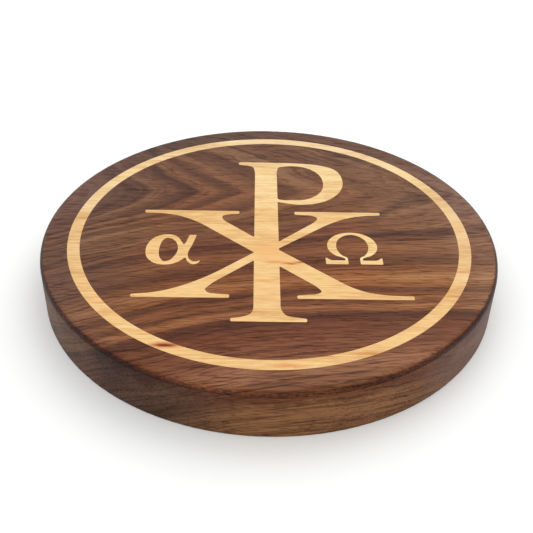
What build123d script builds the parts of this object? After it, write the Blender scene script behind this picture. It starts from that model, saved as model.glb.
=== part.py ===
from build123d import *
import math
import os

# ---------------------------------------------------------------------------
# Wooden offering plate: one solid round of walnut, flat on both faces, with
# four separate maple inlays let into the top face and sanded flush:
#   * a plain ring just inside the rim
#   * a Chi-Rho (the Greek letters chi and rho laid over each other)
#   * a lower-case alpha in the left-hand angle of the chi
#   * a capital omega in the right-hand angle of the chi
#
# Frame: origin at the centre of the underside, +Z up, top face at
# z = THICKNESS. +Y points to the head of the letters, +X to the right as the
# letters are read, which is also the direction the wood grain runs.
# All sizes in millimetres.
# ---------------------------------------------------------------------------

# --- the walnut round ------------------------------------------------------
DIAMETER = 254.0           # 10 in across
THICKNESS = 28.6           # 1-1/8 in board
TOP_ROUNDOVER = 3.5        # rounded top arris, about 1/8 in
BOTTOM_EASE = 0.6          # sanded bottom arris

# --- the inlays ------------------------------------------------------------
INLAY_DEPTH = 4.8          # 3/16 in maple, same as the pocket it sits in
RING_INNER_R = 105.6
RING_OUTER_R = 112.3

TIP_R = 0.9                # rounded ends of the serifs
CROTCH_R = 0.45            # where two strokes meet, left by a fine cutter

R = DIAMETER / 2.0
FLOOR_Z = THICKNESS - INLAY_DEPTH


def unit(v):
    n = math.hypot(v[0], v[1])
    return (v[0] / n, v[1] / n)


def smooth(points, t_start, t_end):
    """Run of cubic arcs through the points, each as round as its ends allow.

    Directions are given at the two ends. In between, the direction is that of
    the circle through a point and its two neighbours.
    """
    n = len(points)
    step = [(points[i + 1][0] - points[i][0], points[i + 1][1] - points[i][1]) for i in range(n - 1)]
    size = [math.hypot(*d) for d in step]
    head = [math.atan2(d[1], d[0]) for d in step]

    def swing(a):
        return (a + math.pi) % (2 * math.pi) - math.pi

    angles = [math.atan2(t_start[1], t_start[0])]
    for i in range(1, n - 1):
        angles.append(head[i - 1] + swing(head[i] - head[i - 1]) * size[i - 1] / (size[i - 1] + size[i]))
    angles.append(math.atan2(t_end[1], t_end[0]))

    c = (3.0 - math.sqrt(5.0)) / 2.0
    edges = []
    for i in range(n - 1):
        a = swing(angles[i] - head[i])
        b = swing(head[i] - angles[i + 1])
        alpha = (math.sqrt(2.0) * (math.sin(a) - math.sin(b) / 16.0)
                 * (math.sin(b) - math.sin(a) / 16.0) * (math.cos(a) - math.cos(b)))
        ra = (2.0 + alpha) / (1.0 + (1.0 - c) * math.cos(a) + c * math.cos(b)) * size[i] / 3.0
        rb = (2.0 - alpha) / (1.0 + (1.0 - c) * math.cos(b) + c * math.cos(a)) * size[i] / 3.0
        p, q = points[i], points[i + 1]
        edges.append(Edge.make_bezier(
            Vector(*p),
            Vector(p[0] + ra * math.cos(angles[i]), p[1] + ra * math.sin(angles[i])),
            Vector(q[0] - rb * math.cos(angles[i + 1]), q[1] - rb * math.sin(angles[i + 1])),
            Vector(*q)))
    return edges


def outline(*items):
    """Closed flat face on z = 0.

    items alternates corners and runs. A corner is (x, y, radius); a run is
    None for a straight edge, or (start tangent, [points], end tangent) for a
    smooth curve. A corner with radius 0 joins the runs as they come.
    """
    corners = items[0::2]
    runs = items[1::2]
    n = len(corners)
    ends = []
    for i in range(n):
        a, b = corners[i], corners[(i + 1) % n]
        if runs[i] is None:
            t = unit((b[0] - a[0], b[1] - a[1]))
            ends.append((t, t))
        else:
            ends.append((unit(runs[i][0]), unit(runs[i][2])))
    starts, stops, arcs = [None] * n, [None] * n, [None] * n
    for i in range(n):
        x, y, r = corners[i]
        t_in, t_out = ends[i - 1][1], ends[i][0]
        turn = math.acos(max(-1.0, min(1.0, t_in[0] * t_out[0] + t_in[1] * t_out[1])))
        if r <= 0.0 or turn < 1e-3:
            starts[i], stops[i - 1] = (x, y), (x, y)
            continue
        d = r * math.tan(turn / 2.0)
        p = (x - d * t_in[0], y - d * t_in[1])
        q = (x + d * t_out[0], y + d * t_out[1])
        # middle of the tangent arc, on the line from the corner to its centre
        bis = unit((t_out[0] - t_in[0], t_out[1] - t_in[1]))
        s = r / math.cos(turn / 2.0) - r
        arcs[i] = (p, (x + s * bis[0], y + s * bis[1]), q)
        stops[i - 1], starts[i] = p, q
    edges = []
    for i in range(n):
        if arcs[i] is not None:
            p, m, q = arcs[i]
            edges.append(Edge.make_three_point_arc(Vector(*p), Vector(*m), Vector(*q)))
        a, b = starts[i], stops[i]
        if runs[i] is None:
            edges.append(Edge.make_line(Vector(*a), Vector(*b)))
        else:
            edges.extend(smooth([a] + list(runs[i][1]) + [b], ends[i][0], ends[i][1]))
    return Face(Wire(edges))


def slab(face, z0, height):
    """Straight-sided solid of the given height standing on z0."""
    return extrude(Pos(0, 0, z0) * face, amount=height, dir=(0, 0, 1))


# --- Chi-Rho ---------------------------------------------------------------
# The upright of the rho is 13.6 wide and runs the whole height. The chi is
# set low, its head serifs level at CHI_HEAD and its foot serifs at CHI_FOOT,
# the foot wider than the head. Its heavy stroke falls from upper left to
# lower right, the light one from upper right to lower left.
STEM_L = -8.65
STEM_R = 5.0
RHO_HEAD = 80.2
RHO_FOOT = -78.1
CHI_HEAD = 22.1
CHI_FOOT = -59.65

chi_rho_face = outline(
    # head serif of the rho, left tip
    (-19.1, RHO_HEAD, 1.2), None,
    (7.0, RHO_HEAD, 0.0),
    # outside of the bowl
    ((1.0, 0.0), [(21.0, 79.45), (32.8, 77.35), (41.2, 72.7), (45.75, 58.8),
                  (42.3, 43.9), (34.0, 34.65), (20.2, 30.1)], (-1.0, 0.26)),
    (STEM_R, 32.75, CROTCH_R), None,
    # right edge of the upright down to the light stroke
    (STEM_R, -8.95, CROTCH_R), None,
    (22.5, 7.8, 0.0),
    # upper right arm: inner bracket, short tip, head edge, long tip
    ((1.0, 0.957), [(26.2, 11.9), (27.75, 15.3), (25.2, 17.8), (20.5, 18.65)], (-1.0, 0.06)),
    (14.7, 19.05, TIP_R), None,
    (14.7, CHI_HEAD, TIP_R), None,
    (64.7, CHI_HEAD, TIP_R), None,
    (64.7, 19.5, TIP_R),
    ((-1.0, -0.10), [(57.0, 18.8), (50.0, 17.35), (42.6, 14.55), (36.2, 10.75)], (-1.0, -0.84)),
    (30.0, 6.1, 0.0), None,
    # right-hand angle of the chi, just touching the edge of the upright
    (STEM_R, -15.45, CROTCH_R), None,
    (STEM_R, -16.9, CROTCH_R), None,
    (36.0, -44.65, 0.0),
    # lower right arm
    ((1.0, -0.896), [(43.0, -50.2), (50.0, -53.8), (58.5, -55.85)], (1.0, -0.01)),
    (73.7, -56.6, TIP_R), None,
    (73.7, CHI_FOOT, TIP_R), None,
    (13.7, CHI_FOOT, TIP_R), None,
    (13.7, -57.1, TIP_R),
    ((1.0, 0.11), [(19.4, -56.35), (24.1, -55.65), (26.3, -53.6), (25.0, -51.0)], (-1.0, 0.92)),
    (22.0, -47.5, 0.0), None,
    (STEM_R, -31.9, CROTCH_R), None,
    # foot of the rho
    (STEM_R, -62.5, 0.0),
    ((0.0, -1.0), [(5.5, -69.2), (8.0, -73.3), (12.3, -74.5)], (1.0, -0.22)),
    (17.9, -75.6, TIP_R), None,
    (17.9, RHO_FOOT, TIP_R), None,
    (-20.0, RHO_FOOT, TIP_R), None,
    (-20.0, -75.7, TIP_R),
    ((1.0, 0.17), [(-14.4, -74.5), (-10.6, -72.5)], (0.0, 1.0)),
    (STEM_L, -66.0, 0.0), None,
    # left edge of the upright up to the light stroke
    (STEM_L, -26.85, CROTCH_R), None,
    (-27.5, -44.6, 0.0),
    # lower left arm
    ((-1.0, -0.942), [(-31.7, -49.4), (-33.65, -53.0), (-32.0, -55.4), (-28.1, -56.25)], (1.0, -0.08)),
    (-21.05, -56.9, TIP_R), None,
    (-21.05, CHI_FOOT, TIP_R), None,
    (-71.35, CHI_FOOT, TIP_R), None,
    (-71.35, -57.35, TIP_R),
    ((1.0, 0.12), [(-62.7, -56.2), (-55.3, -54.25), (-48.3, -51.2), (-41.0, -47.0), (-33.5, -41.75)],
     (1.0, 0.915)),
    (-26.0, -35.5, 0.0), None,
    # left-hand angle of the chi
    (STEM_L, -19.55, CROTCH_R), None,
    (-36.0, 5.7, 0.0),
    # upper left arm
    ((-1.0, 0.917), [(-40.6, 9.6), (-46.5, 13.45), (-53.4, 16.75), (-61.2, 18.6)], (-1.0, 0.03)),
    (-72.5, 19.25, TIP_R + 0.2), None,
    (-72.5, CHI_HEAD, TIP_R + 0.2), None,
    (-17.5, CHI_HEAD, TIP_R), None,
    (-17.5, 19.1, TIP_R),
    ((-1.0, -0.12), [(-23.9, 18.3), (-27.1, 16.6), (-26.7, 13.2)], (1.0, -0.96)),
    (-23.5, 9.35, 0.0), None,
    (STEM_L, -4.9, CROTCH_R), None,
    # left edge of the upright up to the head serif
    (STEM_L, 62.0, 0.0),
    ((0.0, 1.0), [(-9.0, 69.8), (-10.2, 74.4), (-12.7, 75.9)], (-1.0, 0.24)),
    (-19.1, 77.15, 1.2), None,
)

# counter of the rho: walnut left standing inside the bowl
rho_counter_face = outline(
    (STEM_R, 37.6, 0.0), None,
    (STEM_R, 61.0, 0.0),
    ((0.0, 1.0), [(5.35, 70.6), (6.4, 74.2), (9.0, 75.35)], (1.0, 0.0)),
    (14.5, 76.1, 0.0),
    ((1.0, 0.0), [(22.0, 74.9), (28.8, 69.8), (33.5, 56.3), (30.2, 42.8), (22.5, 36.2)], (-1.0, 0.0)),
    (12.4, 34.9, 0.0),
    ((-1.0, 0.0), [(7.6, 35.2), (5.6, 36.0)], (0.0, 1.0)),
)

# --- alpha (lower case) ----------------------------------------------------
alpha_face = outline(
    (-57.2, -3.0, 0.0),
    # bowl, anticlockwise from its head
    ((-1.0, 0.0), [(-63.9, -6.1), (-67.2, -12.2), (-67.95, -18.2), (-66.3, -25.8), (-62.4, -30.2)],
     (1.0, 0.0)),
    (-56.9, -31.85, 0.0),
    ((1.0, 0.0), [(-53.2, -31.3), (-49.6, -29.2)], (1.0, 1.08)),
    (-45.75, -25.0, 0.35),
    # tail
    ((0.33, -1.0), [(-43.9, -29.3)], (1.0, -0.05)),
    (-41.3, -31.2, 0.0),
    ((1.0, 0.0), [(-38.9, -30.1)], (0.2, 1.0)),
    (-37.6, -26.9, 0.3),
    ((-0.8, -1.0), [(-39.0, -28.3)], (-1.0, 0.0)),
    (-40.8, -28.7, 0.0),
    ((-1.0, 0.0), [(-43.3, -26.9), (-44.65, -22.3), (-44.2, -18.1), (-43.0, -13.8)], (0.22, 1.0)),
    (-42.1, -9.6, 0.0), None,
    # head of the right-hand stroke
    (-40.85, -3.35, 0.6), None,
    (-44.9, -3.35, 0.6), None,
    (-46.1, -8.8, 0.0),
    ((-0.2, -1.0), [(-46.6, -11.2)], (-1.0, 0.0)),
    (-47.45, -12.4, 0.0),
    ((-1.0, 0.0), [(-48.6, -10.7), (-50.5, -6.8), (-53.4, -4.0)], (-1.0, 0.0)),
)

alpha_counter_face = outline(
    (-56.9, -6.5, 0.0),
    ((1.0, 0.0), [(-53.0, -8.8), (-50.9, -13.4), (-50.45, -18.2), (-52.1, -24.3), (-54.5, -28.0)],
     (-1.0, 0.0)),
    (-56.7, -28.85, 0.0),
    ((-1.0, 0.0), [(-59.0, -26.6), (-60.5, -21.0), (-60.4, -13.9), (-59.1, -8.6)], (1.0, 0.0)),
)

# --- omega (capital, on two flat feet) -------------------------------------
OMEGA_X = 45.65            # line of symmetry
OMEGA_FOOT = -29.45


def om(dx, y):
    return (OMEGA_X + dx, y)


def om_mirror(points):
    return [(2 * OMEGA_X - x, y) for x, y in reversed(points)]


om_out = [om(7.9, -1.35), om(12.4, -6.4), om(13.85, -12.3), om(12.3, -18.4)]
om_neck_out = [om(6.6, -22.95)]
om_in = [om(8.2, -17.3), om(8.85, -12.0), om(7.1, -5.7)]

omega_face = outline(
    # outside of the bowl, right half
    (OMEGA_X, 0.95, 0.0),
    ((1.0, 0.0), om_out, (-0.9, -0.6)),
    (*om(9.1, -21.75), 0.0),
    ((-0.9, -0.6), om_neck_out, (-0.1, -1.0)),
    (*om(4.75, -24.6), 0.0), None,
    # right foot
    (*om(4.75, -25.95), 0.6), None,
    (*om(11.4, -25.95), 0.0),
    ((1.0, 0.0), [om(13.1, -25.3)], (1.0, 0.95)),
    (*om(15.45, -23.1), 0.45), None,
    (*om(15.45, OMEGA_FOOT), 0.6), None,
    (*om(3.3, OMEGA_FOOT), 0.6), None,
    (*om(3.3, -24.6), 0.0),
    ((0.0, 1.0), [om(4.2, -22.8)], (1.0, 0.75)),
    (*om(5.6, -21.9), 0.0),
    # inside of the bowl
    ((1.0, 1.0), om_in, (-1.0, 0.0)),
    (OMEGA_X, -1.25, 0.0),
    ((-1.0, 0.0), om_mirror(om_in), (1.0, -1.0)),
    (*om(-5.6, -21.9), 0.0),
    ((1.0, -0.75), [om(-4.2, -22.8)], (0.0, -1.0)),
    (*om(-3.3, -24.6), 0.0), None,
    # left foot
    (*om(-3.3, OMEGA_FOOT), 0.6), None,
    (*om(-15.45, OMEGA_FOOT), 0.6), None,
    (*om(-15.45, -23.1), 0.45),
    ((1.0, -0.95), [om(-13.1, -25.3)], (1.0, 0.0)),
    (*om(-11.4, -25.95), 0.0), None,
    (*om(-4.75, -25.95), 0.6), None,
    (*om(-4.75, -24.6), 0.0),
    ((-0.1, 1.0), om_mirror(om_neck_out), (-0.9, 0.6)),
    (*om(-9.1, -21.75), 0.0),
    ((-0.9, 0.6), om_mirror(om_out), (1.0, 0.0)),
)

# --- ring ------------------------------------------------------------------
ring_face = Face(Wire([Edge.make_circle(RING_OUTER_R)]), [Wire([Edge.make_circle(RING_INNER_R)])])

# --- the maple pieces ------------------------------------------------------
maple_ring = slab(ring_face, FLOOR_Z, INLAY_DEPTH)
maple_chi_rho = slab(chi_rho_face, FLOOR_Z, INLAY_DEPTH) - slab(rho_counter_face, FLOOR_Z - 1, INLAY_DEPTH + 2)
maple_alpha = slab(alpha_face, FLOOR_Z, INLAY_DEPTH) - slab(alpha_counter_face, FLOOR_Z - 1, INLAY_DEPTH + 2)
maple_omega = slab(omega_face, FLOOR_Z, INLAY_DEPTH)

# --- the walnut round, turned from its section -----------------------------
k = math.sqrt(0.5)
section = Face(Wire([
    Edge.make_line((0, 0), (R - BOTTOM_EASE, 0)),
    Edge.make_three_point_arc(
        Vector(R - BOTTOM_EASE, 0),
        Vector(R - BOTTOM_EASE * (1 - k), BOTTOM_EASE * (1 - k)),
        Vector(R, BOTTOM_EASE)),
    Edge.make_line((R, BOTTOM_EASE), (R, THICKNESS - TOP_ROUNDOVER)),
    Edge.make_three_point_arc(
        Vector(R, THICKNESS - TOP_ROUNDOVER),
        Vector(R - TOP_ROUNDOVER * (1 - k), THICKNESS - TOP_ROUNDOVER * (1 - k)),
        Vector(R - TOP_ROUNDOVER, THICKNESS)),
    Edge.make_line((R - TOP_ROUNDOVER, THICKNESS), (0, THICKNESS)),
    Edge.make_line((0, THICKNESS), (0, 0)),
]))
walnut_round = revolve(Plane.XZ * section, axis=Axis.Z)

# pockets: each one is the outline of its inlay, to the same depth
OVER = 1.0                 # the cutter stands proud of the top face
walnut_plate = walnut_round
walnut_plate -= slab(ring_face, FLOOR_Z, INLAY_DEPTH + OVER)
walnut_plate -= (slab(chi_rho_face, FLOOR_Z, INLAY_DEPTH + OVER)
                 - slab(rho_counter_face, FLOOR_Z - 1, INLAY_DEPTH + OVER + 2))
walnut_plate -= (slab(alpha_face, FLOOR_Z, INLAY_DEPTH + OVER)
                 - slab(alpha_counter_face, FLOOR_Z - 1, INLAY_DEPTH + OVER + 2))
walnut_plate -= slab(omega_face, FLOOR_Z, INLAY_DEPTH + OVER)

# --- write one STEP file per piece -----------------------------------------
PIECES = {
    "walnut_plate": walnut_plate,
    "maple_ring": maple_ring,
    "maple_chi_rho": maple_chi_rho,
    "maple_alpha": maple_alpha,
    "maple_omega": maple_omega,
}

os.makedirs("parts", exist_ok=True)
for name, piece in PIECES.items():
    solids = piece.solids()
    if len(solids) != 1:
        raise ValueError("%s should be one solid, got %d" % (name, len(solids)))
    solid = solids[0]
    solid.label = name
    export_step(solid, "parts/%s.step" % name)
    bb = solid.bounding_box()
    print("%-14s volume %10.1f mm3  x %.2f..%.2f  y %.2f..%.2f  z %.2f..%.2f" % (
        name, solid.volume, bb.min.X, bb.max.X, bb.min.Y, bb.max.Y, bb.min.Z, bb.max.Z))
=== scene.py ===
import math

import bpy
from mathutils import Matrix, Vector


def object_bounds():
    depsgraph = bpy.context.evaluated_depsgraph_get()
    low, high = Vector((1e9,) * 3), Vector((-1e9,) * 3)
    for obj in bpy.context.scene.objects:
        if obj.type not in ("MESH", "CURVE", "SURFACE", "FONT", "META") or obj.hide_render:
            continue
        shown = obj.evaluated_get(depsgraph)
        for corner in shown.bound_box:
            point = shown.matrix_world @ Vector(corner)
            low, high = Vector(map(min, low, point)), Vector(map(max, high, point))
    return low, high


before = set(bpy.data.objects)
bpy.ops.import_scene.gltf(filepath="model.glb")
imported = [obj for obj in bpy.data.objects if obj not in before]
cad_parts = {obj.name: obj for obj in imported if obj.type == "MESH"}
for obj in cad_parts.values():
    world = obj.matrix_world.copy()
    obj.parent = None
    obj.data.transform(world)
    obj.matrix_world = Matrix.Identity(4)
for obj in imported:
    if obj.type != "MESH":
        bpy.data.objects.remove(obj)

# ---------------------------------------------------------------------------------------------
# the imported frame: everything is placed from the CAD box
# ---------------------------------------------------------------------------------------------
CAD_LO, CAD_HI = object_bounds()
RADIUS = (CAD_HI.x - CAD_LO.x) / 2
TOP = CAD_HI.z
MM = 0.001


# ---------------------------------------------------------------------------------------------
# a small helper for shader graphs
# ---------------------------------------------------------------------------------------------
class Graph:
    def __init__(self, name):
        self.mat = bpy.data.materials.new(name)
        self.mat.use_nodes = True
        self.tree = self.mat.node_tree
        self.tree.nodes.clear()
        self.out = self.tree.nodes.new("ShaderNodeOutputMaterial")
        self.bsdf = self.tree.nodes.new("ShaderNodeBsdfPrincipled")
        self.tree.links.new(self.bsdf.outputs["BSDF"], self.out.inputs["Surface"])
        self.coords = self.tree.nodes.new("ShaderNodeTexCoord")
        self.pos = self.coords.outputs["Object"]
        self.nrm = self.coords.outputs["Normal"]

    def put(self, socket, value):
        if isinstance(value, bpy.types.NodeSocket):
            self.tree.links.new(value, socket)
        elif value is not None:
            socket.default_value = value

    def m(self, op, a, b=None, c=None, clamp=False):
        n = self.tree.nodes.new("ShaderNodeMath")
        n.operation = op
        n.use_clamp = clamp
        for i, v in enumerate((a, b, c)):
            if v is not None:
                self.put(n.inputs[i], v)
        return n.outputs[0]

    def add(self, a, b): return self.m("ADD", a, b)
    def sub(self, a, b): return self.m("SUBTRACT", a, b)
    def mul(self, a, b): return self.m("MULTIPLY", a, b)
    def fma(self, a, b, c): return self.m("MULTIPLY_ADD", a, b, c)

    def split(self, v):
        n = self.tree.nodes.new("ShaderNodeSeparateXYZ")
        self.put(n.inputs[0], v)
        return n.outputs

    def join(self, x, y, z):
        n = self.tree.nodes.new("ShaderNodeCombineXYZ")
        for i, v in enumerate((x, y, z)):
            self.put(n.inputs[i], v)
        return n.outputs[0]

    def step(self, x, lo, hi, a=0.0, b=1.0):
        """Smooth change from a to b as x goes from lo to hi."""
        n = self.tree.nodes.new("ShaderNodeMapRange")
        n.interpolation_type = "SMOOTHSTEP"
        for i, v in enumerate((x, lo, hi, a, b)):
            self.put(n.inputs[i], v)
        return n.outputs[0]

    def noise(self, vector, scale=1.0, detail=2.0, rough=0.5, distortion=0.0):
        n = self.tree.nodes.new("ShaderNodeTexNoise")
        n.noise_dimensions = "3D"
        self.put(n.inputs["Vector"], vector)
        self.put(n.inputs["Scale"], scale)
        self.put(n.inputs["Detail"], detail)
        self.put(n.inputs["Roughness"], rough)
        self.put(n.inputs["Distortion"], distortion)
        return n.outputs["Fac"]

    def stretch(self, vector, sx, sy, sz, off=(0.0, 0.0, 0.0)):
        n = self.tree.nodes.new("ShaderNodeMapping")
        n.vector_type = "POINT"
        self.put(n.inputs["Vector"], vector)
        n.inputs["Scale"].default_value = (sx, sy, sz)
        n.inputs["Location"].default_value = off
        return n.outputs[0]

    def curve(self, x, points, x_span, y_span):
        """A curve through the given points, over the given spans."""
        n = self.tree.nodes.new("ShaderNodeFloatCurve")
        c = n.mapping.curves[0]
        pts = [((px - x_span[0]) / (x_span[1] - x_span[0]), (py - y_span[0]) / (y_span[1] - y_span[0]))
               for px, py in points]
        c.points[0].location = pts[0]
        c.points[1].location = pts[-1]
        for p in pts[1:-1]:
            c.points.new(*p)
        n.mapping.update()
        self.put(n.inputs["Value"], self.fma(x, 1 / (x_span[1] - x_span[0]), -x_span[0] / (x_span[1] - x_span[0])))
        return self.fma(n.outputs[0], y_span[1] - y_span[0], y_span[0])

    def ramp(self, fac, stops, mode="EASE"):
        n = self.tree.nodes.new("ShaderNodeValToRGB")
        n.color_ramp.interpolation = mode
        e = n.color_ramp.elements
        e[0].position, e[0].color = stops[0][0], (*stops[0][1], 1)
        e[1].position, e[1].color = stops[-1][0], (*stops[-1][1], 1)
        for p, c in stops[1:-1]:
            k = e.new(p)
            k.color = (*c, 1)
        self.put(n.inputs[0], fac)
        return n.outputs["Color"]

    def mix(self, fac, a, b, mode="MIX"):
        n = self.tree.nodes.new("ShaderNodeMix")
        n.data_type = "RGBA"
        n.blend_type = mode
        self.put(n.inputs["Factor"], fac)
        for k, v in (("A", a), ("B", b)):
            s = [i for i in n.inputs if i.name == k and i.type == "RGBA"][0]
            self.put(s, v if isinstance(v, bpy.types.NodeSocket) else (*v, 1))
        return [o for o in n.outputs if o.type == "RGBA"][0]

    def blob(self, pos, cx, cy, rx, ry):
        """1 at a spot on the top face, fading to 0 at its edge (millimetres)."""
        x, y, _ = self.split(pos)
        dx = self.fma(x, 1 / (rx * MM), -cx / rx)
        dy = self.fma(y, 1 / (ry * MM), -cy / ry)
        d = self.m("SQRT", self.add(self.mul(dx, dx), self.mul(dy, dy)))
        return self.step(d, 1.0, 0.0)


def srgb(*c):
    """Colour given as 0..255 display values, as linear light."""
    return tuple(((v / 255 + 0.055) / 1.055) ** 2.4 if v > 10 else v / 255 / 12.92 for v in c)


LIGHT = 1.08          # brightness of a white, level surface under the studio lights
SHEEN = 0.014         # what its polish adds
SPECULAR = 0.12


def look(*c):
    """Surface colour that appears as this display colour on the level face."""
    return tuple(max(v - SHEEN, 0.25 * v) / LIGHT for v in srgb(*c))


# ---------------------------------------------------------------------------------------------
# walnut: one solid block of growth rings, cut by the disc
# ---------------------------------------------------------------------------------------------
# Ring shape, in disc radii. The crest is the line on the face where the rings turn back.
CREST = (0.345, 0.0, 0.02)             # height, slope and bend of the crest line
PITH_HEIGHT = 1.8                      # how far the pith is above the face
NOSE = 0.010                           # how blunt the pointed rings are
SPAN = 1.9
# ring number against distance from the crest, on the near and the far side
NEAR = [(0, 0), (.06, .046), (.15, .14), (.25, .32), (.4, .77), (.6, 1.42), (.85, 2.30), (1.15, 3.10), (1.5, 3.8), (1.9, 4.5)]
FAR = [(0, 0), (.12, .075), (.25, .145), (.4, .27), (.6, .55), (1.0, 1.45), (1.9, 3.2)]
# how the rings slope, bend and turn down along the board, against the same distance
LEAN_NEAR = [(0, .50), (.2, .55), (.5, .50), (1.0, .47), (1.9, .42)]
LEAN_FAR = [(0, .50), (.3, .52), (.7, .60), (1.9, .60)]
BEND_NEAR = [(0, .60), (.2, .48), (.5, .18), (1.0, .08), (1.9, .36)]      # 0.6 is straight
TURN_NEAR = [(0, 0), (.5, .12), (1.5, .35), (1.9, .35)]

# heartwood colours by ring number, as seen on the face
BANDS = [
    (-0.60, (112, 82, 67)), (-0.288, (90, 63, 53)), (-0.266, (116, 84, 66)), (-0.172, (76, 51, 43)),
    (-0.153, (122, 86, 65)), (-0.080, (84, 56, 45)), (-0.058, (120, 84, 63)), (0.06, (88, 60, 47)), (0.10, (125, 91, 69)),
    (0.28, (104, 73, 56)), (0.42, (120, 86, 66)), (0.56, (110, 76, 58)), (0.70, (120, 82, 61)), (0.79, (82, 53, 42)),
    (0.93, (112, 76, 56)), (1.07, (122, 84, 61)), (1.40, (96, 63, 46)), (1.63, (128, 85, 56)),
    (1.80, (144, 101, 70)), (1.95, (132, 86, 56)), (2.08, (96, 61, 44)), (2.22, (126, 82, 56)), (2.32, (106, 68, 48)),
    (2.42, (142, 96, 66)), (2.56, (84, 52, 40)), (2.76, (108, 67, 49)), (3.05, (118, 77, 57)), (3.26, (142, 99, 75)),
    (3.40, (129, 88, 66)), (3.52, (112, 74, 54)), (3.70, (140, 100, 70)), (4.40, (138, 101, 72)),
]


def walnut():
    g = Graph("walnut_wood")
    P = g.stretch(g.pos, 1 / RADIUS, 1 / RADIUS, 1 / RADIUS)
    # slow wander of the whole block
    wander = g.sub(g.noise(g.stretch(P, 1.0, 1.6, 1.6, (3.1, 0.4, 7.7)), 2.2, 2.0, 0.5), 0.5)
    ripple = g.sub(g.noise(g.stretch(P, 1.6, 6.0, 6.0, (9.0, 2.2, 1.3)), 2.0, 3.0, 0.55), 0.5)
    tremor = g.sub(g.noise(g.stretch(P, 2.2, 14.0, 14.0, (1.0, 6.2, 4.3)), 2.0, 2.0, 0.5), 0.5)
    px, py, pz = g.split(P)
    y = g.fma(wander, 0.07, g.fma(ripple, 0.028, g.fma(tremor, 0.008, py)))
    x = g.fma(ripple, 0.05, px)
    d = g.m("MAXIMUM", g.sub(TOP / RADIUS, pz), 0.0)
    u = g.sub(y, g.fma(g.fma(x, CREST[2], CREST[1]), x, CREST[0]))
    vv = g.add(g.mul(u, u), g.add(g.mul(d, d), g.fma(d, 2 * PITH_HEIGHT, NOSE ** 2)))
    v = g.sub(g.m("SQRT", vv), NOSE)
    # past the crest the two sides meet in a narrow zone that widens with depth
    width = g.fma(d, 1.2, 0.010)
    side = g.step(g.m("DIVIDE", u, width), -1.0, 1.0)
    span = (0, SPAN)
    near = g.curve(v, NEAR, span, (0, 4.5))
    far = g.curve(v, FAR, span, (0, 3.2))
    lean_n, lean_f = g.curve(v, LEAN_NEAR, span, (0, 1)), g.curve(v, LEAN_FAR, span, (0, 1))
    bend = g.sub(g.curve(v, BEND_NEAR, span, (0, 1)), 0.6)
    turn = g.curve(v, TURN_NEAR, span, (0, 1))
    near = g.fma(g.fma(g.fma(turn, x, bend), x, lean_n), x, near)
    far = g.fma(lean_f, x, far)
    rings = g.fma(g.sub(far, near), side, near)
    lo_r, hi_r = BANDS[0][0], BANDS[-1][0]
    bands = g.ramp(g.fma(rings, 1 / (hi_r - lo_r), -lo_r / (hi_r - lo_r)),
                   [((r - lo_r) / (hi_r - lo_r), look(*c)) for r, c in BANDS])
    # yearly rings: a slow darkening, then a sharp return, unevenly spaced
    wob = g.noise(g.stretch(P, 0.8, 5.0, 5.0, (5.0, 1.0, 2.0)), 3.0, 3.0, 0.6)
    late = g.m("POWER", g.m("FRACT", g.fma(rings, 12.0, g.mul(wob, 1.4))), 4.5)
    # streaks along the rings: 6 mm, 3 mm and 1 mm apart, and the fibres themselves
    def along(stretch, count, off, detail=1.0):
        return g.noise(g.join(g.fma(x, stretch, off), g.mul(rings, count), g.fma(pz, stretch, off)), 1.0, detail, 0.6)
    wide = g.sub(g.step(along(1.4, 9.0, 2.3), 0.36, 0.62), 0.5)
    mid = g.sub(g.step(along(1.7, 21.0, 7.1), 0.40, 0.58), 0.5)
    narrow = g.sub(g.step(along(2.6, 48.0, 4.4), 0.38, 0.60), 0.5)
    thin = g.noise(g.join(g.mul(px, 5.0), g.mul(y, 62.0), g.fma(rings, 10.0, g.mul(pz, -60.0))), 1.0, 3.0, 0.6)
    thin = g.sub(g.step(thin, 0.36, 0.60), 0.5)
    streaks = g.fma(wide, 0.14, g.fma(mid, 0.20, g.fma(narrow, 0.27, g.mul(thin, 0.34))))
    # long dark lines along the rings: fine ones a few millimetres apart, and finer ones between
    def lines(stretch, count, off, width):
        return g.step(g.m("ABSOLUTE", g.sub(along(stretch, count, off), 0.5)), width, width * 0.2)
    hair = g.m("MAXIMUM", lines(1.1, 14.0, 11.7, 0.045), g.mul(lines(2.0, 33.0, 3.9, 0.06), 0.55))
    hair = g.mul(hair, g.step(v, 0.05, 0.40, 0.45, 1.0))
    fibre = g.noise(g.stretch(g.pos, 22, 700, 700, (0.3, 0.7, 0.2)), 1.0, 4.0, 0.60)
    fine = g.noise(g.stretch(g.pos, 62, 2300, 2200, (4.3, 1.7, 9.2)), 1.0, 2.0, 0.5)
    cloud = g.noise(g.stretch(g.pos, 12, 60, 60, (2.0, 5.0, 1.0)), 1.0, 3.0, 0.6)
    shade = g.fma(late, -0.43, 1.08)
    # the fibres are more strongly marked toward the front
    nx, ny, nz = g.split(g.nrm)
    face = g.step(nz, 0.5, 0.9)
    front = g.mul(face, g.step(py, -0.60, -0.80))
    shade = g.mul(shade, g.fma(streaks, g.fma(front, 0.5, g.fma(g.step(px, 0.5, 0.9), 0.30, 1.0)), 1.0))
    shade = g.mul(shade, g.fma(hair, -0.50, 1.07))
    shade = g.mul(shade, g.fma(g.sub(fibre, 0.5), g.fma(front, 0.8, g.fma(face, 0.32, 0.78)), 1.0))
    shade = g.mul(shade, g.fma(g.sub(fine, 0.5), g.fma(front, 0.4, g.fma(face, 0.30, 0.80)), 1.0))
    shade = g.mul(shade, g.fma(g.sub(cloud, 0.5), 0.45, 1.0))
    # an even ground with dark marks: the light side is held back
    shade = g.m("SMOOTH_MIN", g.mul(shade, 1.05), 1.20, 0.30)
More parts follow.
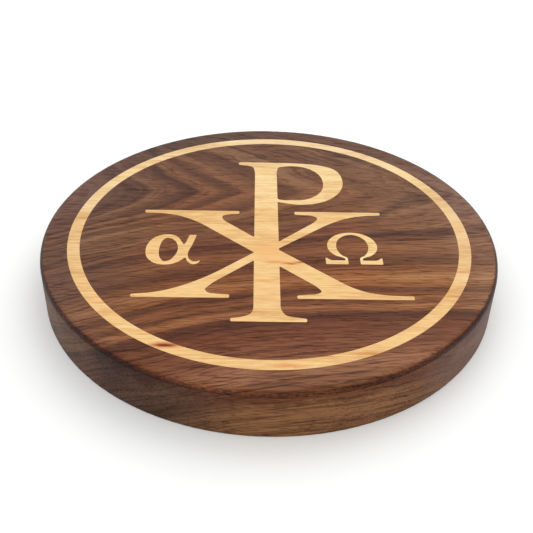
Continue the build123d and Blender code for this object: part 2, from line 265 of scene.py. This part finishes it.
    # pores: short dark grooves along the fibres, thicker in the early wood
    pore_n = g.noise(g.stretch(g.pos, 130, 1700, 1700, (1.1, 8.3, 0.9)), 1.0, 1.0, 0.4)
    dense = g.step(g.noise(g.stretch(P, 2.0, 8.0, 8.0), 2.0, 2.0, 0.5), 0.35, 0.7, 0.61, 0.555)
    pores = g.step(pore_n, dense, g.add(dense, 0.06))
    # end grain, where the fibres come out of the surface, and the rounded top edge
    end = g.step(g.m("ABSOLUTE", nx), 0.35, 0.95)
    edge = g.mul(g.step(nz, 0.01, 0.18), g.step(nz, 0.90, 0.52))
    shade = g.mul(shade, g.fma(end, -0.12, 1.0))
    rolled = g.mul(g.step(g.m("ABSOLUTE", nx), 0.08, 0.55), g.mul(g.step(nz, 0.01, 0.18), g.step(nz, 0.98, 0.74)))
    shade = g.mul(shade, g.sub(1.0, g.mul(edge, 0.24)))
    rag = g.noise(g.stretch(g.pos, 420, 1100, 1100, (7, 7, 7)), 1.0, 3.0, 0.6)
    flecks = g.mul(edge, g.step(rag, 0.46, 0.58))
    shade = g.mul(shade, g.fma(flecks, -0.52, 1.0))
    shade = g.mul(shade, g.fma(pores, -0.40, 1.0))
    # painted contact shadow: the walls darken toward the table, where shade falls
    painted_contact_shadow = g.step(pz, 0.0, 0.012, 0.62, 1.0)                     # the dark line just above the table
    wall = g.step(nz, 0.5, 0.05)
    shade = g.mul(shade, g.fma(g.mul(wall, g.sub(1.0, painted_contact_shadow)), -1.0, 1.0))
    # painted shade: every wall darker than the face, and more across the end grain, which is darker wood
    shade = g.mul(shade, g.fma(g.mul(wall, g.fma(end, 0.10, 0.14)), -1.0, 1.0))
    # across the end grain the bands show less, and the greyer tone they take there is a painted sheen
    calm = g.mul(g.step(px, -0.40, -0.90), g.step(py, -0.08, -0.40, 0.18, 0.62))
    bands = g.mix(calm, bands, look(100, 78, 70))
    # and the rim behind the ring, to the left, is nearly even
    radius = g.m("SQRT", g.add(g.mul(px, px), g.mul(py, py)))
    rim = g.step(radius, 0.84, 0.90)
    even = g.mul(g.mul(rim, face), g.mul(g.step(py, 0.10, 0.30), g.step(px, 0.20, -0.10)))
    bands = g.mix(g.mul(even, 0.60), bands, look(106, 76, 60))
    # painted light: face and wall turn lighter and warmer toward the right edge
    bands = g.mix(g.step(px, 0.72, 0.94, 0.0, 0.40), bands, look(142, 106, 84))
    bands = g.mix(g.mul(wall, g.fma(end, 0.15, 0.12)), bands, look(110, 80, 67))
    colour = g.mix(1.0, bands, g.join(shade, shade, shade), "MULTIPLY")
    colour = g.mix(1.0, colour, g.mix(g.step(shade, 0.60, 1.15), (1.10, 1.00, 0.87), (0.98, 1.05, 1.03)), "MULTIPLY")
    # painted light: the right of the face is lighter; the middle is warmer; and the far rim is duller and more purple,
    # a painted sheen
    painted_light = g.mul(g.step(px, 0.10, 0.50), g.mul(g.step(py, -0.70, -0.45), g.step(py, 0.80, 0.45)))
    painted_light = g.mul(painted_light, g.fma(rim, -0.55, 1.0))
    colour = g.mix(g.mul(face, g.sub(1.0, rim)), colour, g.mix(1.0, colour, (1.08, 1.03, 0.97), "MULTIPLY"))
    warm_mid = g.mul(g.step(g.m("ABSOLUTE", px), 0.75, 0.35), g.step(g.m("ABSOLUTE", py), 0.60, 0.20))
    colour = g.mix(g.mul(warm_mid, face), colour, g.mix(1.0, colour, (1.03, 0.90, 0.71), "MULTIPLY"))
    far_rim = g.mul(g.mul(rim, face), g.step(py, 0.00, 0.25))
    # painted sheen: the far rim greyer and more purple
    colour = g.mix(far_rim, colour, g.mix(1.0, colour, (0.89, 0.97, 1.12), "MULTIPLY"))
    colour = g.mix(g.mul(far_rim, g.mul(g.step(px, 0.05, -0.25), g.step(px, -0.92, -0.70))), colour, g.mix(1.0, colour, (0.84, 0.85, 0.88), "MULTIPLY"))
    # painted light on the right of the face
    colour = g.mix(g.mul(painted_light, face), colour, g.mix(1.0, colour, (1.26, 1.21, 1.16), "MULTIPLY"))
    inside = g.mul(face, g.sub(1.0, rim))
    colour = g.mix(g.mul(inside, g.step(px, 0.28, 0.48)), colour, g.mix(1.0, colour, (0.93, 1.03, 1.09), "MULTIPLY"))
    left_mid = g.mul(g.step(px, -0.30, -0.50), g.step(g.m("ABSOLUTE", py), 0.32, 0.12))
    colour = g.mix(g.mul(inside, left_mid), colour, g.mix(1.0, colour, (1.13, 1.15, 1.10), "MULTIPLY"))
    # three lighter stretches of the rim
    back_left = g.mul(g.step(px, -0.58, -0.74), g.step(py, -0.06, 0.10))
    front_left = g.mul(g.step(px, -0.40, -0.54), g.step(py, -0.24, -0.40))
    front_right = g.mul(g.step(px, 0.66, 0.78), g.step(py, -0.18, -0.36))
    for where, tint in ((back_left, (1.24, 1.18, 1.20)), (front_left, (1.20, 1.19, 1.18)), (front_right, (1.14, 1.22, 1.27))):
        colour = g.mix(g.mul(g.mul(rim, face), where), colour, g.mix(1.0, colour, tint, "MULTIPLY"))
    colour = g.mix(g.mul(face, g.step(px, 0.66, 0.84)), colour, g.mix(1.0, colour, (0.99, 1.02, 1.10), "MULTIPLY"))
    colour = g.mix(g.mul(face, g.step(rings, 0.30, 0.05)), colour, g.mix(1.0, colour, (1.06, 1.09, 1.10), "MULTIPLY"))
    # two dark veins wind across the right of the face
    wiggle = g.fma(ripple, 0.12, g.fma(tremor, 0.05, py))
    for points, thick, tint in (
        ([(0.25, 0.08), (0.37, 0.09), (0.44, 0.105), (0.52, 0.165), (0.61, 0.27), (0.67, 0.32), (0.80, 0.34)], 0.055, (0.64, 0.66, 0.76)),
        ([(0.25, 0.02), (0.60, 0.03), (0.72, 0.04), (0.82, 0.06), (0.95, 0.11)], 0.032, (0.62, 0.66, 0.76)),
    ):
        middle = g.curve(px, points, (0.2, 1.0), (0.0, 0.5))
        vein = g.step(g.m("ABSOLUTE", g.sub(wiggle, middle)), thick, thick * 0.1)
        vein = g.mul(g.mul(vein, face), g.mul(g.step(px, 0.34, 0.48), g.step(px, 0.95, 0.70)))
        colour = g.mix(vein, colour, g.mix(1.0, colour, tint, "MULTIPLY"))
    colour = g.mix(g.mul(edge, g.sub(1.0, end)), colour, g.mix(1.0, colour, (1.02, 0.90, 0.80), "MULTIPLY"))
    colour = g.mix(rolled, colour, g.mix(1.0, colour, (0.50, 0.42, 0.48), "MULTIPLY"))
    colour = g.mix(g.mul(rolled, g.step(px, 0.55, 0.85)), colour, g.mix(1.0, colour, (0.62, 0.52, 0.60), "MULTIPLY"))
    back_edge = g.mul(g.step(ny, 0.04, 0.25), g.mul(g.step(nz, 0.01, 0.18), g.step(nz, 0.995, 0.93)))
    colour = g.mix(back_edge, colour, g.mix(1.0, colour, (0.60, 0.55, 0.60), "MULTIPLY"))
    # a redder band just under the rounded edge
    drip = g.sub(g.noise(g.stretch(g.pos, 70, 70, 24, (0.6, 3.2, 5.5)), 1.0, 3.0, 0.6), 0.5)
    level = g.fma(drip, 0.20, pz)
    under = g.mul(wall, g.step(level, 0.135, 0.175))
    colour = g.mix(under, colour, g.mix(1.0, colour, (0.84, 0.72, 0.60), "MULTIPLY"))
    # left of the front a dark streak runs down the wall, darkest under the edge
    dark = g.mul(wall, g.mul(g.step(px, -0.02, -0.42), g.step(px, -0.74, -0.60)))
    colour = g.mix(dark, colour, g.mix(1.0, colour, (0.45, 0.53, 0.66), "MULTIPLY"))
    colour = g.mix(g.mul(dark, g.step(level, 0.13, 0.20)), colour, g.mix(1.0, colour, (0.80, 0.74, 0.74), "MULTIPLY"))
    # painted sheen: the far left wall is paler and greyer, and so is the right wall below its upper edge
    painted_sheen_left = g.mul(wall, g.step(px, -0.56, -0.72))
    colour = g.mix(painted_sheen_left, colour, g.mix(1.0, colour, (1.12, 1.30, 1.42), "MULTIPLY"))
    colour = g.mix(g.mul(wall, g.step(px, -0.74, -0.88)), colour, g.mix(1.0, colour, (1.20, 1.22, 1.24), "MULTIPLY"))
    right = g.mul(wall, g.mul(g.step(px, 0.52, 0.72), g.step(px, 0.98, 0.86)))
    # painted sheen on the right wall
    colour = g.mix(g.mul(right, 0.36), colour, look(126, 102, 95))
    colour = g.mix(g.mul(right, g.step(level, 0.13, 0.20)), colour, g.mix(1.0, colour, (0.80, 0.78, 0.78), "MULTIPLY"))
    # painted sheen: the end-grain walls at left and right greyer and bluer
    colour = g.mix(g.mul(g.mul(wall, end), 0.55), colour, g.mix(1.0, colour, (0.88, 1.0, 1.16), "MULTIPLY"))
    # slow change of hue: cooler and purple at the far right, warmer near the front
    hue = g.noise(g.stretch(P, 1.0, 2.0, 2.0, (6, 3, 9)), 1.7, 3.0, 0.6)
    warm = g.step(g.fma(g.sub(hue, 0.5), 1.2, g.fma(py, -0.45, g.mul(px, 0.20))), -0.6, 0.5)
    colour = g.mix(1.0, colour, g.mix(warm, (1.00, 0.95, 0.99), (1.05, 0.98, 0.93)), "MULTIPLY")
    g.put(g.bsdf.inputs["Base Color"], colour)
    rough = g.fma(fibre, 0.14, g.fma(pores, 0.20, g.fma(end, 0.05, 0.38)))
    g.put(g.bsdf.inputs["Roughness"], g.fma(edge, -0.05, rough))
    g.bsdf.inputs["IOR"].default_value = 1.5
    g.bsdf.inputs["Specular IOR Level"].default_value = SPECULAR
    bump = g.tree.nodes.new("ShaderNodeBump")
    bump.inputs["Strength"].default_value = 0.6
    bump.inputs["Distance"].default_value = 0.00012
    g.put(bump.inputs["Height"], g.add(g.mul(fibre, 0.5), g.fma(pores, -0.9, g.fma(flecks, -0.5, g.mul(fine, 0.25)))))
    g.put(g.bsdf.inputs["Normal"], bump.outputs[0])
    return g.mat


# ---------------------------------------------------------------------------------------------
# maple
# ---------------------------------------------------------------------------------------------
def maple():
    g = Graph("maple_wood")
    x, y, z = g.split(g.pos)
    fibre = g.noise(g.stretch(g.pos, 34, 900, 700, (2, 1, 3)), 1.0, 4.0, 0.62)
    fine = g.noise(g.stretch(g.pos, 150, 2600, 2200, (5, 1, 4)), 1.0, 2.0, 0.5)
    curl = g.noise(g.stretch(g.pos, 130, 260, 200, (8, 2, 6)), 1.0, 2.0, 0.5, 0.8)
    broad = g.noise(g.stretch(g.pos, 9, 90, 80, (1, 6, 2)), 1.0, 3.0, 0.55)
    lines = g.noise(g.stretch(g.pos, 22, 300, 220, (4, 9, 1)), 1.0, 3.0, 0.6, 1.3)
    thin = g.step(lines, 0.36, 0.64)
    t = g.fma(g.sub(fibre, 0.5), 1.35, g.fma(g.sub(broad, 0.5), 1.25, g.fma(g.sub(curl, 0.5), 0.50, g.fma(g.sub(thin, 0.5), 0.16, 0.51))))
    colour = g.ramp(t, [(0.0, look(206, 146, 84)), (0.3, look(229, 180, 118)), (0.58, look(243, 200, 137)), (1.0, look(250, 217, 164))])
    shade = g.fma(g.sub(fine, 0.5), 0.55, 1.0)
    colour = g.mix(1.0, colour, g.join(shade, shade, shade), "MULTIPLY")
    # the ring's wood is duller to the left and right and paler to the back
    sides = g.step(g.m("ABSOLUTE", x), 0.085, 0.108)
    colour = g.mix(sides, g.mix(1.0, colour, (0.960, 0.960, 0.955), "MULTIPLY"), g.mix(1.0, colour, (0.885, 0.880, 0.925), "MULTIPLY"))
    colour = g.mix(g.step(y, 0.008, 0.045), colour, g.mix(1.0, colour, (1.04, 1.16, 1.30), "MULTIPLY"))
    colour = g.mix(g.step(y, 0.060, 0.095), colour, g.mix(1.0, colour, (0.97, 0.97, 1.10), "MULTIPLY"))
    # and so is the omega's
    colour = g.mix(g.blob(g.pos, 46, -14, 26, 22), colour, g.mix(1.0, colour, (1.07, 1.28, 1.36), "MULTIPLY"))
    # gum streaks and flames
    warp = g.noise(g.stretch(g.pos, 180, 500, 500, (3, 3, 3)), 1.0, 3.0, 0.6)
    def moved(k):
        off = g.mul(g.sub(warp, 0.5), k * MM)
        return g.join(x, g.add(y, off), z)
    for cx, cy, rx, ry, tint, s, k in (
        (-46, -95.6, 17.0, 2.6, (226, 150, 88), 0.85, 3.0),
        (-50.5, -96.0, 10.5, 3.3, (166, 76, 34), 1.00, 2.0),
        (-50.5, -96.1, 7.0, 1.6, (112, 42, 20), 0.95, 2.0),
        (6.0, -27, 15.0, 5.0, (238, 184, 120), 0.75, 4.0),
        (0.0, -18.0, 17.0, 12.0, (240, 184, 116), 0.70, 7.0),
        (3.0, -28.2, 9.0, 2.0, (222, 152, 88), 0.95, 3.0),
        (11.0, -29.4, 7.5, 2.0, (198, 116, 60), 1.00, 2.5),
        (16.0, -28.0, 5.0, 1.7, (194, 110, 58), 1.00, 2.0),
        (-4.0, -45, 12.0, 1.7, (224, 164, 100), 0.80, 3.5),
        (-2.0, -52, 13.0, 1.8, (236, 182, 118), 0.60, 4.0),
        (-1.5, 18, 12.0, 4.0, (238, 188, 130), 0.60, 5.0),
        (8, -109.4, 15.0, 2.4, (222, 150, 88), 0.90, 3.5),
        (103, -35, 6.0, 1.7, (226, 152, 90), 0.75, 2.5),
        (-87, -65, 10.0, 1.0, (224, 152, 92), 0.75, 2.0),
        (-62, 87, 6.0, 1.6, (230, 156, 92), 0.70, 2.5),
    ):
        s_ = g.mul(g.blob(moved(k), cx, cy, rx, ry), s)
        colour = g.mix(s_, colour, look(*tint))
    g.put(g.bsdf.inputs["Base Color"], colour)
    g.put(g.bsdf.inputs["Roughness"], g.fma(fibre, 0.12, 0.34))
    g.bsdf.inputs["IOR"].default_value = 1.5
    g.bsdf.inputs["Specular IOR Level"].default_value = SPECULAR
    bump = g.tree.nodes.new("ShaderNodeBump")
    bump.inputs["Strength"].default_value = 0.45
    bump.inputs["Distance"].default_value = 0.00006
    g.put(bump.inputs["Height"], g.add(g.mul(fibre, 0.6), g.mul(fine, 0.3)))
    g.put(g.bsdf.inputs["Normal"], bump.outputs[0])
    return g.mat


WALNUT = walnut()
MAPLE = maple()
for name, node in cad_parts.items():
    wood = WALNUT if name.startswith("walnut") else MAPLE
    for s in node.material_slots:
        s.material = wood
    if not node.material_slots:
        node.data.materials.append(wood)


# ---------------------------------------------------------------------------------------------
# floor, light and camera
# ---------------------------------------------------------------------------------------------
def floor():
    s = 6.0
    me = bpy.data.meshes.new("floor")
    me.from_pydata([(-s, -s, 0), (s, -s, 0), (s, s, 0), (-s, s, 0)], [], [(0, 1, 2, 3)])
    o = bpy.data.objects.new("floor", me)
    bpy.context.scene.collection.objects.link(o)
    g = Graph("floor_white")
    n = g.noise(g.pos, 3.0, 2.0, 0.5)
    g.put(g.bsdf.inputs["Base Color"], g.ramp(n, [(0.0, (0.950, 0.960, 0.948)), (1.0, (0.962, 0.972, 0.960))]))
    g.put(g.bsdf.inputs["Roughness"], g.fma(n, 0.1, 0.6))
    g.bsdf.inputs["Specular IOR Level"].default_value = 0.2
    me.materials.append(g.mat)
    o.location.z = CAD_LO.z - 0.00002


floor()

world = bpy.data.worlds.new("studio")
world.use_nodes = True
bg = world.node_tree.nodes["Background"]
bg.inputs["Color"].default_value = (1.0, 1.0, 1.0, 1)
bg.inputs["Strength"].default_value = 0.98
bpy.context.scene.world = world


def area(name, loc, target, size, power, colour=(1, 1, 1)):
    li = bpy.data.lights.new(name, "AREA")
    li.shape = "DISK"
    li.size = size
    li.energy = power
    li.color = colour
    o = bpy.data.objects.new(name, li)
    bpy.context.scene.collection.objects.link(o)
    o.location = loc
    o.rotation_mode = "QUATERNION"
    o.rotation_quaternion = (Vector(target) - Vector(loc)).to_track_quat("-Z", "Y")
    return o


area("key", (0.50, 0.95, 1.30), (0, 0, 0), 1.5, 6.5)
area("fill", (-0.8, -0.9, 1.5), (0, 0, 0), 1.6, 2.5)


def camera():
    dist, pitch, phi = 3.7132, math.radians(33.9983), math.radians(1.3)
    ay, ax, roll = math.radians(-0.1529), math.radians(-2.3377), math.radians(-1.5148)
    cp, sp, cf, sf = math.cos(pitch), math.sin(pitch), math.cos(phi), math.sin(phi)
    right, up, fw = Vector((cf, -sf, 0)), Vector((sp * sf, sp * cf, cp)), Vector((cp * sf, cp * cf, -sp))
    x1 = right * math.cos(ay) - fw * math.sin(ay)
    z1 = right * math.sin(ay) + fw * math.cos(ay)
    y2 = up * math.cos(ax) - z1 * math.sin(ax)
    z2 = up * math.sin(ax) + z1 * math.cos(ax)
    ix = x1 * math.cos(roll) - y2 * math.sin(roll)
    iy = x1 * math.sin(roll) + y2 * math.cos(roll)
    cam = bpy.data.cameras.new("camera")
    cam.sensor_width = 36.0
    cam.lens = 56.26
    cam.clip_start, cam.clip_end = 0.01, 50
    o = bpy.data.objects.new("camera", cam)
    bpy.context.scene.collection.objects.link(o)
    o.matrix_world = Matrix((
        (ix.x, iy.x, -z2.x, -dist * cp * sf * RADIUS),
        (ix.y, iy.y, -z2.y, -dist * cp * cf * RADIUS),
        (ix.z, iy.z, -z2.z, dist * sp * RADIUS + TOP),
        (0, 0, 0, 1)))
    bpy.context.scene.camera = o


camera()
bpy.context.scene.view_settings.view_transform = "Standard"
